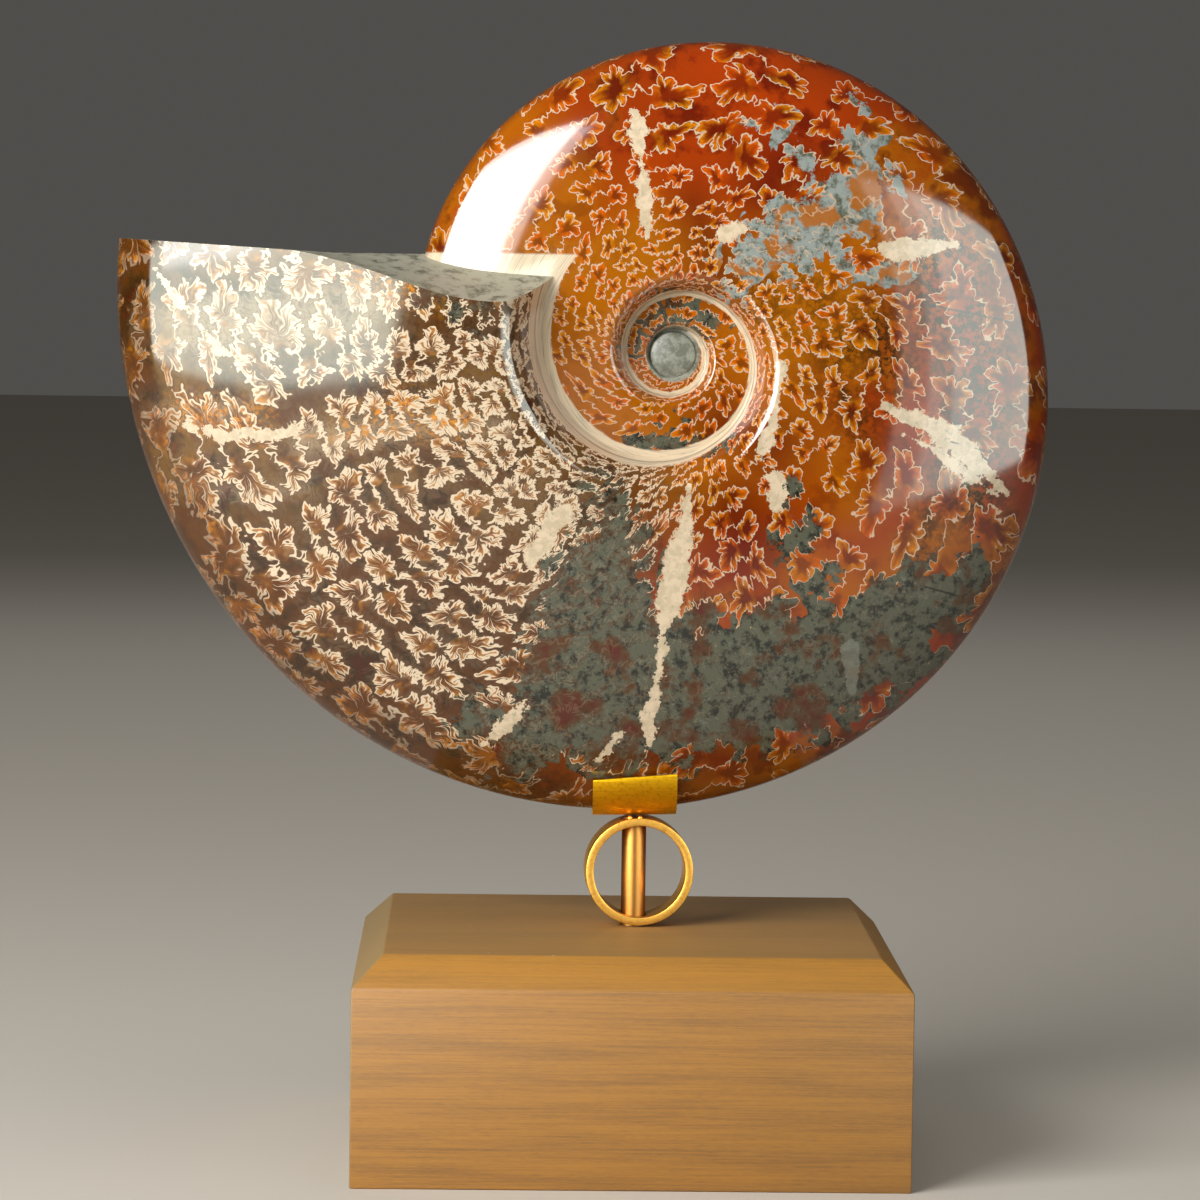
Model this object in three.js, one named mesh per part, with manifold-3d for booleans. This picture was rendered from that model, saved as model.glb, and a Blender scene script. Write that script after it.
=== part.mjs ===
// A polished ammonite resting in a brass saddle, on a brass ring and post over a chamfered wood block.
// Millimetres, +Z up. The origin is the centre of the block's underside, and the viewer looks along +Y.
import * as THREE from 'three';
import { mergeVertices } from 'three/addons/utils/BufferGeometryUtils.js';
import { ConvexGeometry } from 'three/addons/geometries/ConvexGeometry.js';
import { ParametricGeometry } from 'three/addons/geometries/ParametricGeometry.js';
import Module from 'manifold-3d';

const wasm = await Module();
wasm.setup();

const { degToRad, smoothstep } = THREE.MathUtils;

// The clear space left between pieces that touch, and how finely round pieces are faceted.
const GAP = 0.3;
const ROUND_SIDES = 32;

// The wood block.
const BLOCK_WIDTH = 90;
const BLOCK_DEPTH = 82;
const BLOCK_HEIGHT = 37.2;
const BLOCK_CHAMFER = 5;
const SOCKET_DEPTH = 18;

// The ring is a slice of tube that stands on its edge, with its bore facing the viewer and turned a little.
const RING_X = 1.8;
const RING_RADIUS = 9;
const RING_WALL = 1.3;
const RING_WIDTH = 7;
const RING_YAW = degToRad(2.5);
const RING_Z = BLOCK_HEIGHT + GAP + RING_RADIUS;

// The post runs from the block's socket up through both walls of the ring.
const POST_X = 1;
const POST_RADIUS = 2.05;

// Two drops of solder sit on the ring's front edge, under the saddle.
const SOLDER_RADIUS = 0.45;
const SOLDER_X = [0.2, 1.9];
const SOLDER_Y = 0.6 - RING_WIDTH / 2;

// The saddle is the lower part of a tube that lies along X and rises a little to the right.
// Its rim is cut below the tube's axis, at a slight slant to it.
const SADDLE_X = 0.8;
const SADDLE_LENGTH = 14;
const SADDLE_RADIUS = 9;
const SADDLE_WALL = 0.8;
const SADDLE_TILT = degToRad(1);
const SADDLE_BOTTOM = RING_Z + RING_RADIUS + GAP;
const SADDLE_RIM_DROP = 1.8;
const SADDLE_RIM_SLANT = degToRad(3.9);

// The ammonite's coil. Growth is clockwise from the front, and turn angles count from START_ANGLE.
const COIL_X = 6.3;
const COIL_Z = 132.85;
const START_ANGLE = degToRad(158.8);
const VENTER_RADIUS = 44.4;
const VENTER_GROWTH = 0.1225;
const SEAM_RADIUS = 8.4;
const SEAM_GROWTH = 0.1449;
const SEAM_QUICKENING = 0.0023;
// Half the whorl's thickness as a share of its outer radius, and how late the flank falls to the venter.
const FULLNESS = 0.2;
const FLANK_POWER = 2.4;
// The umbilical wall's width as a share of the seam's radius, its share of the section's rows,
// and how far its foot sinks into the earlier whorl.
const WALL_SHARE = 0.35;
const WALL_ACROSS = 0.25;
const SEAM_SINK = 0.4;
// The whorls are swept in stretches of less than half a turn each, and joined.
const FIRST_TURN = degToRad(-620);
const LAST_TURN = degToRad(385);
const STRETCHES = 6;
const STRETCH_RINGS = 20;
const SIDE_POINTS = 16;
// The core's outline, as radius and height, from its flat face out to its foot.
const CORE_RIM = [[0, 3.3], [3.2, 3.3], [3.7, 3], [4, 2.2], [4.9, 1.9]];

// The aperture is cut nearly level, and its margin leans down towards the umbilicus on both sides.
const CUT_Z = 149;
const CUT_RIGHT_X = 10;
const CUT_SIZE = { x: 140, y: 90, z: 90 };
const CUT_STEPS = { x: 35, y: 15 };
const CUT_RISE = 0.055;
const CUT_LEVEL_X = -50;
const CUT_LEAN = 0.4;
const CUT_LEAN_FROM_X = -58;
const CUT_LEAN_TO_X = -24;

// Merges a geometry's shared vertices, drops faces with no area and gives a solid to join and cut.
function toSolid(geometry) {
  const bare = geometry.clone();
  bare.deleteAttribute('normal');
  bare.deleteAttribute('uv');
  const merged = mergeVertices(bare, 1e-4);
  const corners = merged.index.array;
  const kept = [];
  for (let i = 0; i < corners.length; i += 3) {
    const [a, b, c] = corners.slice(i, i + 3);
    if (a !== b && b !== c && c !== a) kept.push(a, b, c);
  }
  const vertProperties = new Float32Array(merged.attributes.position.array);
  const triVerts = new Uint32Array(kept);
  return new wasm.Manifold(new wasm.Mesh({ numProp: 3, vertProperties, triVerts }));
}

// Turns a joined or cut solid back into a geometry.
function toGeometry(solid) {
  const mesh = solid.getMesh();
  const geometry = new THREE.BufferGeometry();
  geometry.setAttribute('position', new THREE.BufferAttribute(mesh.vertProperties, 3));
  geometry.setIndex(new THREE.BufferAttribute(mesh.triVerts, 1));
  geometry.computeVertexNormals();
  return geometry;
}

// An upright cylinder between two heights.
function uprightCylinder(radius, bottom, top, x) {
  const geometry = new THREE.CylinderGeometry(radius, radius, top - bottom, ROUND_SIDES);
  geometry.rotateX(Math.PI / 2);
  geometry.translate(x, 0, (bottom + top) / 2);
  return geometry;
}

const venterRadius = (turn) => VENTER_RADIUS * Math.exp(VENTER_GROWTH * turn);
const halfThickness = (turn) => FULLNESS * venterRadius(turn);

function seamRadius(turn) {
  return SEAM_RADIUS * Math.exp(SEAM_GROWTH * turn + SEAM_QUICKENING * turn * turn);
}

// How far a whorl's flank stands from the middle plane at a distance from the coil's axis.
function flankHeight(turn, radius) {
  const seam = seamRadius(turn);
  const share = Math.min((radius - seam) / (venterRadius(turn) - seam), 1);
  return halfThickness(turn) * Math.sqrt(1 - Math.max(share, 0) ** FLANK_POWER);
}

// One point of a whorl's section: across is 0 at the umbilical seam, 1 at the venter.
// Up to WALL_ACROSS it climbs the umbilical wall from just inside the earlier whorl, the rest is the flank.
function sectionPoint(turn, across) {
  const seam = seamRadius(turn);
  const shoulder = seam * (1 + WALL_SHARE);
  if (across >= WALL_ACROSS) {
    const left = (1 - across) / (1 - WALL_ACROSS);
    const radius = venterRadius(turn) - (venterRadius(turn) - shoulder) * left ** 2;
    return { radius, height: flankHeight(turn, radius) };
  }
  const climb = across / WALL_ACROSS;
  const radius = THREE.MathUtils.lerp(seam, shoulder, climb);
  const foot = flankHeight(turn - 2 * Math.PI, seam) - SEAM_SINK;
  return { radius, height: THREE.MathUtils.lerp(foot, flankHeight(turn, radius), 1 - (1 - climb) ** 2) };
}

// One closed stretch of the whorl. Its first and last rows flatten the section to close the ends.
// Rings are counted along the whole coil, and each stretch runs one ring into the next.
function whorlStretch(firstRing) {
  const along = STRETCH_RINGS + 3;
  const around = 2 * SIDE_POINTS + 1;
  const ringTurn = (LAST_TURN - FIRST_TURN) / (STRETCHES * STRETCH_RINGS);
  const place = (u, v, target) => {
    const row = Math.round(u * along);
    const column = Math.round(v * around) % around;
    const ring = firstRing + THREE.MathUtils.clamp(row - 1, 0, along - 2);
    const turn = FIRST_TURN + ring * ringTurn;
    const { radius, height } = sectionPoint(turn, 1 - Math.abs(column / SIDE_POINTS - 1));
    const side = row === 0 || row === along ? 0 : Math.sign(column - SIDE_POINTS);
    const angle = START_ANGLE - turn;
    target.set(COIL_X + radius * Math.cos(angle), side * height, COIL_Z + radius * Math.sin(angle));
  };
  return new ParametricGeometry(place, along, around);
}

// The innermost whorls end in a small flat disc in the middle of the umbilicus.
function coreDisc() {
  const upper = CORE_RIM.map(([radius, height]) => new THREE.Vector2(radius, height));
  const lower = CORE_RIM.map(([radius, height]) => new THREE.Vector2(radius, -height));
  const geometry = new THREE.LatheGeometry([...lower, ...upper.reverse()], ROUND_SIDES);
  geometry.translate(COIL_X, 0, COIL_Z);
  return geometry;
}

// Everything above the aperture's surface, to be cut off the last stretch.
function apertureCutter() {
  const { x: long, y: wide, z: high } = CUT_SIZE;
  const geometry = new THREE.BoxGeometry(long, wide, high, CUT_STEPS.x, CUT_STEPS.y);
  geometry.translate(CUT_RIGHT_X - long / 2, 0, CUT_Z + high / 2);
  const position = geometry.attributes.position;
  for (let i = 0; i < position.count; i += 1) {
    if (position.getZ(i) > CUT_Z + high / 2) continue;
    const x = position.getX(i);
    const rise = CUT_RISE * Math.max(CUT_LEVEL_X - x, 0);
    const lean = CUT_LEAN * smoothstep(x, CUT_LEAN_FROM_X, CUT_LEAN_TO_X);
    position.setZ(i, CUT_Z + rise - lean * Math.abs(position.getY(i)));
  }
  return geometry;
}

function ammonite() {
  let solid = toSolid(coreDisc());
  for (let i = 0; i < STRETCHES; i += 1) {
    const stretch = toSolid(whorlStretch(i * STRETCH_RINGS));
    const last = i === STRETCHES - 1;
    solid = solid.add(last ? stretch.subtract(toSolid(apertureCutter())) : stretch);
  }
  return toGeometry(solid);
}

function saddle() {
  const rimAngle = Math.asin(SADDLE_RIM_DROP / SADDLE_RADIUS);
  const [from, to] = [Math.PI + rimAngle, 2 * Math.PI - rimAngle];
  const shape = new THREE.Shape();
  shape.absarc(0, 0, SADDLE_RADIUS, from, to, false);
  shape.absarc(0, 0, SADDLE_RADIUS - SADDLE_WALL, to, from, true);
  shape.closePath();
  const options = { depth: SADDLE_LENGTH, curveSegments: ROUND_SIDES / 2, bevelEnabled: false };
  const geometry = new THREE.ExtrudeGeometry(shape, options);
  geometry.translate(0, 0, -SADDLE_LENGTH / 2);
  const position = geometry.attributes.position;
  for (let i = 0; i < position.count; i += 1) {
    const [x, y, z] = [position.getX(i), position.getY(i), position.getZ(i)];
    const onRim = Math.atan2(-y, Math.abs(x)) < rimAngle + 1e-3;
    if (onRim) position.setY(i, y + z * Math.tan(SADDLE_RIM_SLANT));
  }
  geometry.rotateX(Math.PI / 2);
  geometry.rotateZ(Math.PI / 2);
  geometry.rotateY(-SADDLE_TILT);
  geometry.translate(SADDLE_X, 0, SADDLE_BOTTOM + SADDLE_RADIUS);
  return toGeometry(toSolid(geometry));
}

function ring() {
  const shape = new THREE.Shape();
  shape.absarc(0, 0, RING_RADIUS, 0, 2 * Math.PI, false);
  const bore = new THREE.Path();
  bore.absarc(0, 0, RING_RADIUS - RING_WALL, 0, 2 * Math.PI, true);
  shape.holes.push(bore);
  const options = { depth: RING_WIDTH, curveSegments: ROUND_SIDES, bevelEnabled: false };
  const tube = new THREE.ExtrudeGeometry(shape, options);
  tube.translate(0, 0, -RING_WIDTH / 2);
  tube.rotateX(Math.PI / 2);
  tube.rotateZ(RING_YAW);
  tube.translate(RING_X, 0, RING_Z);
  const [below, above] = [RING_Z - 2 * RING_RADIUS, RING_Z + 2 * RING_RADIUS];
  const drill = uprightCylinder(POST_RADIUS + GAP, below, above, POST_X);
  let solid = toSolid(tube).subtract(toSolid(drill));
  for (const x of SOLDER_X) {
    const drop = new THREE.SphereGeometry(SOLDER_RADIUS, ROUND_SIDES / 4, ROUND_SIDES / 4);
    drop.translate(x, SOLDER_Y, RING_Z + RING_RADIUS);
    solid = solid.add(toSolid(drop));
  }
  return toGeometry(solid);
}

function post() {
  const bottom = BLOCK_HEIGHT - SOCKET_DEPTH + GAP;
  return uprightCylinder(POST_RADIUS, bottom, SADDLE_BOTTOM - GAP, POST_X);
}

// A block with its four upper edges cut at 45 degrees and a blind socket for the post.
function block() {
  const x = BLOCK_WIDTH / 2;
  const y = BLOCK_DEPTH / 2;
  const corners = [];
  for (const [cut, z] of [[0, 0], [0, BLOCK_HEIGHT - BLOCK_CHAMFER], [BLOCK_CHAMFER, BLOCK_HEIGHT]]) {
    for (const sideX of [-1, 1]) {
      for (const sideY of [-1, 1]) {
        corners.push(new THREE.Vector3(sideX * (x - cut), sideY * (y - cut), z));
      }
    }
  }
  const bottom = BLOCK_HEIGHT - SOCKET_DEPTH;
  const socket = uprightCylinder(POST_RADIUS + GAP, bottom, BLOCK_HEIGHT + SOCKET_DEPTH, POST_X);
  return toGeometry(toSolid(new ConvexGeometry(corners)).subtract(toSolid(socket)));
}

function named(name, geometry, color, roughness, metalness) {
  const material = new THREE.MeshStandardMaterial({ color, roughness, metalness });
  const mesh = new THREE.Mesh(geometry, material);
  mesh.name = name;
  return mesh;
}

const group = new THREE.Group();
group.add(
  named('ammonite', ammonite(), 0xa8581c, 0.12, 0),
  named('saddle', saddle(), 0xcb942f, 0.35, 1),
  named('ring', ring(), 0xc9973f, 0.35, 1),
  named('post', post(), 0xc78f35, 0.3, 1),
  named('block', block(), 0xab8046, 0.6, 0),
);

export default group;
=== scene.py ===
import math

import bmesh
import bpy
from bpy.props import FloatProperty, FloatVectorProperty, IntProperty, PointerProperty
from mathutils import Matrix, Vector


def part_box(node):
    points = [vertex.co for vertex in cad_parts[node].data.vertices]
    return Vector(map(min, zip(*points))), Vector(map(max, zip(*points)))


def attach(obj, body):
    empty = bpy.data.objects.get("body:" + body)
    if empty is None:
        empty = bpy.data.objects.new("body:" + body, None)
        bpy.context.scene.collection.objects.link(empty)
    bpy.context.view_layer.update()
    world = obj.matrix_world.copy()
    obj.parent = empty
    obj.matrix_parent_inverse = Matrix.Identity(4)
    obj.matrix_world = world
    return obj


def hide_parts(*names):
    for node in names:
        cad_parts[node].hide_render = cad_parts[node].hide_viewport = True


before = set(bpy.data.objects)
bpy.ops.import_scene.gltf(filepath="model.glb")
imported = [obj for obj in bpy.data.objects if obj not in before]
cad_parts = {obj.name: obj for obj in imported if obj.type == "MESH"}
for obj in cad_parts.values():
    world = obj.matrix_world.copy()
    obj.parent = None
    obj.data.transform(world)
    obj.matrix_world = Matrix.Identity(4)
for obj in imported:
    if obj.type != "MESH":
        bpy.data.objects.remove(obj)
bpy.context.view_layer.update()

bl_info = {
    "name": "Ammonite on a brass stand",
    "version": (1, 0, 0),
    "blender": (4, 5, 0),
    "location": "3D View > Sidebar > Ammonite",
    "description": "Builds a polished ammonite that rests on a brass and wood stand",
    "category": "Object",
}

MM = 0.001
FULL_TURN = 2 * math.pi
NO_SHIFT = (0, 0, 0)
ROUND_STEPS = 128

# The coil, in millimetres. Turn angles count clockwise from START_ANGLE, as seen from the front.
START_ANGLE = math.radians(158.8)
FIRST_TURN = math.radians(-620)
LAST_TURN = math.radians(385)
COIL_X = 6.3
COIL_Z = 132.85
SEAM_QUICKENING = 0.0023
FLANK_POWER = 2.4
WALL_ACROSS = 0.25
SEAM_SINK = 0.4
CORE_RIM = [(0, 3.3), (3.2, 3.3), (3.7, 3), (4, 2.2), (4.9, 1.9)]

# The aperture's cut, in millimetres.
CUT_Z = 149
CUT_RIGHT_X = 10
CUT_SIZE = (140, 90, 90)
CUT_STEPS = (70, 40)
CUT_RISE = 0.055
CUT_LEVEL_X = -50
CUT_LEAN = 0.4
CUT_LEAN_FROM_X = -58
CUT_LEAN_TO_X = -24
# A face is on the cut where it faces up this much, this near the cut's surface and left of this place.
CUT_FACE_TILT = 0.7
CUT_FACE_DEPTH = 0.3
CUT_FACE_TO_X = -12

STRETCHES = 6
STRETCH_RINGS = 80
SIDE_POINTS = 44


def millimetres(name, value, text, **more):
    """A length that a user can change, kept in metres."""
    return FloatProperty(
        name=name, description=text, default=value * MM, subtype="DISTANCE", unit="LENGTH", **more)


def colour(name, rgb, text):
    """A colour that a user can change, given as 0 to 255 for a screen."""
    linear = [(c / 255) ** 2.2 for c in rgb]
    return FloatVectorProperty(
        name=name, description=text, default=linear, subtype="COLOR", size=3, min=0, max=1)


class FossilSettings(bpy.types.PropertyGroup):
    venter_radius: millimetres("Outer radius", 44.4, "Outer radius at the start of the last whorl")
    venter_growth: FloatProperty(
        name="Outer growth", description="How fast the outer radius grows per radian", default=0.1225)
    seam_radius: millimetres("Seam radius", 8.4, "Inner seam's radius at the start of the last whorl")
    seam_growth: FloatProperty(
        name="Seam growth", description="How fast the seam's radius grows per radian", default=0.1449)
    fullness: FloatProperty(
        name="Fullness", description="Half the whorl's thickness as a share of its outer radius", default=0.2)
    wall_share: FloatProperty(
        name="Wall width", description="Umbilical wall's width as a share of the seam's radius", default=0.35)
    septa: IntProperty(name="Septa", description="Suture lines in a full turn", default=17, min=8)
    amber: colour("Amber", (138, 50, 2), "Main colour of the calcite")
    honey: colour("Honey", (158, 90, 3), "Yellow parts of the calcite")
    ruby: colour("Deep red", (84, 12, 1), "Darkest parts of the calcite")
    scarlet: colour("Scarlet", (160, 56, 2), "Bright red parts of the calcite")
    olive: colour("Olive", (50, 34, 8), "Dark mossy clouds in the calcite")
    leaf: colour("Leaf core", (84, 20, 1), "Inside of the suture's leaves")
    glow: colour("Leaf edge", (214, 92, 3), "Edge of the suture's leaves")
    flame: colour("Yellow leaf edge", (222, 138, 12), "Yellow edge of the suture's leaves")
    suture: colour("Suture", (212, 192, 162), "The suture lines")
    umber: colour("Umber", (80, 45, 3), "Brown calcite of the last chambers")
    # Partly painted sheen: besides real pale calcite, this tint is laid only high on the last whorl, where a
    # grey-lilac sheen falls.
    mauve_and_sheen: colour("Mauve", (106, 75, 28), "Pale calcite between the last leaves")
    matrix: colour("Matrix", (84, 85, 70), "Grey-green rock that fills the chambers")
    slate: colour("Slate", (34, 36, 30), "Dark specks of the rock")
    ash: colour("Ash", (128, 130, 116), "Pale specks of the rock")
    cut: colour("Cut rock", (156, 153, 134), "Rock of the aperture's cut face")
    teal: colour("Teal", (138, 146, 140), "Blue-grey patch")
    shell: colour("Shell", (190, 172, 142), "Cream remains of the shell")


class StandSettings(bpy.types.PropertyGroup):
    bevel: millimetres("Edge bevel", 0.12, "Rounding of the brass edges")
    wood_bevel: millimetres("Wood bevel", 0.35, "Rounding of the wood edges")
    chamfer: millimetres("Chamfer", 5, "Cut along the block's four upper edges")
    brass: colour("Brass", (222, 166, 78), "Brass of the ring")
    saddle_brass: colour("Saddle brass", (242, 186, 34), "Brass of the saddle")
    post_brass: colour("Post brass", (152, 106, 56), "Brass of the post")
    brass_dark: colour("Dark brass", (150, 88, 20), "Specks in the brass")
    wood: colour("Wood", (160, 107, 27), "Light grain of the wood")
    wood_dark: colour("Dark wood", (118, 80, 28), "Dark grain of the wood")
    wood_edge: colour("Wood edge", (172, 122, 46), "Paler wood of the front chamfer")
    # Greyer wood of the faces that look up or to the left: on the top it is partly wear and partly painted
    # light from above.
    top_and_end_wood: colour("Worn wood", (140, 114, 74), "Worn wood of the top and the end grain")


class StageSettings(bpy.types.PropertyGroup):
    floor_size: FloatProperty(
        name="Floor size", description="Width of the floor", default=8, unit="LENGTH", subtype="DISTANCE")
    key_power: FloatProperty(name="Left light", description="Power of the light on the left", default=9)
    fill_power: FloatProperty(name="Right light", description="Power of the light on the right", default=6)
    top_power: FloatProperty(name="Top light", description="Power of the light above", default=2)
    room: FloatProperty(name="Room light", description="Strength of the light from all round", default=0.1)


def arithmetic(operation, swapped=False):
    """A method of Wire that adds a Math node."""
    def method(wire, other):
        values = (other, wire) if swapped else (wire, other)
        return wire.shader.math(operation, *values)
    return method


class Wire:
    """A value in a shader. Arithmetic on it adds Math nodes."""

    def __init__(self, shader, socket):
        self.shader = shader
        self.socket = socket

    __add__ = arithmetic("ADD")
    __radd__ = arithmetic("ADD", swapped=True)
    __sub__ = arithmetic("SUBTRACT")
    __rsub__ = arithmetic("SUBTRACT", swapped=True)
    __mul__ = arithmetic("MULTIPLY")
    __rmul__ = arithmetic("MULTIPLY", swapped=True)
    __truediv__ = arithmetic("DIVIDE")

    def __abs__(self):
        return self.shader.math("ABSOLUTE", self)


class Shader:
    """A material of one principled shader, and short calls that add nodes to it."""

    def __init__(self, name, sockets):
        self.material = bpy.data.materials.new(name)
        self.material.use_nodes = True
        self.tree = self.material.node_tree
        self.surface = self.tree.nodes["Principled BSDF"]
        for socket, value in sockets.items():
            self.surface.inputs[socket].default_value = value
        coordinates = self.tree.nodes.new("ShaderNodeTexCoord")
        self.uv = Wire(self, coordinates.outputs["UV"])
        # Places on the piece, in millimetres.
        self.place = self.vector("SCALE", {0: Wire(self, coordinates.outputs["Object"]), 3: 1 / MM})

    def node(self, kind, inputs, output=0, **settings):
        """Adds a node and gives one of its outputs."""
        node = self.tree.nodes.new(kind)
        for setting, value in settings.items():
            setattr(node, setting, value)
        for key, value in inputs.items():
            if isinstance(value, Wire):
                self.tree.links.new(value.socket, node.inputs[key])
            else:
                node.inputs[key].default_value = value
        return Wire(self, node.outputs[output])

    def math(self, operation, *values):
        return self.node("ShaderNodeMath", dict(enumerate(values)), operation=operation)

    def vector(self, operation, inputs, output=0):
        return self.node("ShaderNodeVectorMath", inputs, output, operation=operation)

    def least(self, first, second):
        return self.math("MINIMUM", first, second)

    def most(self, first, second):
        return self.math("MAXIMUM", first, second)

    def ramp(self, low, high, value):
        """A smooth step from 0 at low to 1 at high. Where low is above high, it falls."""
        inputs = {0: value, 1: low, 2: high}
        return self.node("ShaderNodeMapRange", inputs, interpolation_type="SMOOTHSTEP", clamp=False)

    def split(self, vector, kind="ShaderNodeSeparateXYZ"):
        parts = self.tree.nodes.new(kind)
        self.tree.links.new(vector.socket, parts.inputs[0])
        return [Wire(self, output) for output in parts.outputs]

    def join(self, x, y, z=0.0):
        return self.node("ShaderNodeCombineXYZ", {0: x, 1: y, 2: z})

    def noise(self, vector, scale, detail=2.0, roughness=0.5, output=0):
        inputs = {"Vector": vector, "Scale": scale, "Detail": detail, "Roughness": roughness}
        return self.node("ShaderNodeTexNoise", inputs, output)

    def noises(self, vector, scale):
        """Three plain noises that don't repeat one another."""
        return self.split(self.noise(vector, scale, 0.0, output=1), "ShaderNodeSeparateColor")

    def chances(self, vector):
        """Three values picked by chance, the same all over a cell that has one vector."""
        white = self.node("ShaderNodeTexWhiteNoise", {"Vector": vector}, 1)
        return self.split(white, "ShaderNodeSeparateColor")

    def moved(self, vector, offset, scale=(1, 1, 1)):
        """The same places shifted or stretched, so that two patterns differ."""
        return self.node("ShaderNodeMapping", {"Vector": vector, "Location": offset, "Scale": scale})

    def tint(self, first, second, share):
        """A mix of two colours."""
        first, second = [c if isinstance(c, Wire) else (*c, 1) for c in (first, second)]
        return self.node("ShaderNodeMix", {0: share, 6: first, 7: second}, 2, data_type="RGBA")

    def streak(self, flat, start, end, start_width, end_width):
        """How far places are from a tapered streak, in millimetres. It is below 0 inside."""
        first = Vector((start[0], 0, start[1]))
        along = Vector((end[0], 0, end[1])) - first
        away = self.vector("SUBTRACT", {0: flat, 1: first})
        share = self.vector("DOT_PRODUCT", {0: away, 1: along / max(along.length_squared, 1e-6)}, 1)
        share = self.least(self.most(share, 0.0), 1.0)
        passed = self.vector("SCALE", {0: -along, 3: share})
        distance = self.vector("LENGTH", {0: self.vector("ADD", {0: away, 1: passed})}, 1)
        return distance - (share * ((end_width - start_width) / 2) + start_width / 2)

    def streaks(self, flat, chains):
        """Chains of points (x, z, width) joined by tapered streaks."""
        result = None
        for chain in chains:
            for (x0, z0, w0), (x1, z1, w1) in zip(chain, chain[1:]):
                part = self.streak(flat, (x0, z0), (x1, z1), w0, w1)
                result = part if result is None else self.least(result, part)
        return result

    def finish(self, colour, **linked):
        self.tree.links.new(colour.socket, self.surface.inputs["Base Color"])
        for socket, value in linked.items():
            self.tree.links.new(value.socket, self.surface.inputs[socket.replace("_", " ").title()])
        return self.material


# The suture lines, in units of the space between two septa. Each septum's line runs along one line across
# the whorl, and oak leaves grow from it by turns forwards and back along the coil.
LEAF_PERIOD = 0.46
LEAF_MIDDLE = 0.19
LEAF_RADIUS_SPREAD = 0.36
LEAF_UNEVENNESS = 0.22
LEAF_LENGTHENING = 1.12
LEAF_FAN = 0.3
LEAF_TILT = 0.9
LEAF_TWIST = 0.14
STEM = 0.08
STEM_LOBE = 0.04
STEM_LOBES = 10.0
JOIN = 0.03
# Each leaf has lobes round its middle, and each lobe has small ones.
LOBES = 8.0
LATE_LOBES = -1.0
LOBE_SPREAD = 2.0
FEWEST_LOBES = 0.65
FULL_RADII = (6, 36)
LOBE_ROUNDNESS = 0.36
# The leaf's radius, and the lengths of its lobes, its heart and its small lobes as shares of that, each with
# its early and its late value.
LEAF_SHAPE = [(0.222, 0.225), (0.5, 0.54), (0.4, 0.22), (0.05, 0.27)]
LOBE_SOFTNESS = 0.006
SMALL_LOBE_SOFTNESS = 0.02
STEEPEST = 3.2
SMALLEST = 0.001
INSIDE_EDGE = 0.02
INSIDE_FROM = 0.16
RAGGED = 0.04
RAGGED_SCALE = 22.0
RAGGED_SHIFT = (3, 1, 9)
# Noises that move the leaves: shift, stretch, scale, reach along x and y, and growth in the late part.
WARPS = [
    (NO_SHIFT, (0.5, 1, 1), 1.0, 0.64, 0.4, 0),
    ((7, 3, 5), (1, 1, 1), 2.4, 0.14, 0.14, 0),
    ((1, 8, 2), (1, 1, 1), 9.0, 0.08, 0.08, 1),
]
INNER_STRETCH = 0.08
INNER_TURN = math.radians(-30)
INNER_FADE = 1.3
INNER_RATE = 0.55
# The septa crowd together towards the aperture.
CROWDED_FROM = math.radians(225)
CROWDED_OVER = 1.2
CROWDING = 0.55
LATE_FROM = math.radians(232)
LATE_TO = math.radians(280)


def septal_places(shader, turn, roll, radius, septa, late):
    """Places along and across the coil in septal units, moved about by noises, a fine noise for the line's
    edge, and a septal unit's length in millimetres."""
    rate = septa / FULL_TURN
    crowd = shader.ramp(CROWDED_FROM, CROWDED_FROM + CROWDED_OVER, turn)
    extra = shader.most(turn - CROWDED_FROM, 0.0)
    inner = shader.most(INNER_TURN - turn, 0.0)
    sparse = shader.ramp(INNER_TURN + INNER_FADE, INNER_TURN - INNER_FADE, turn) * (1 - INNER_RATE)
    squeeze = crowd * CROWDING + 1 - sparse
    x = turn * rate + extra * (rate * CROWDING) + inner * (rate * (1 - INNER_RATE))
    y = roll * (1 - abs(roll) * INNER_STRETCH) * rate * squeeze
    cell = shader.join(x, y)
    ragged = (shader.noise(shader.moved(cell, RAGGED_SHIFT), RAGGED_SCALE, 0.0) - 0.5) * RAGGED
    for shift, stretch, scale, reach_x, reach_y, late_growth in WARPS:
        warp = shader.noises(shader.moved(cell, shift, stretch), scale)
        growth = late * late_growth + 1 if late_growth else 1
        x = x + (warp[0] - 0.5) * growth * reach_x
        y = y + (warp[1] - 0.5) * growth * reach_y
    return x, y, ragged, radius / (squeeze * rate)


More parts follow.
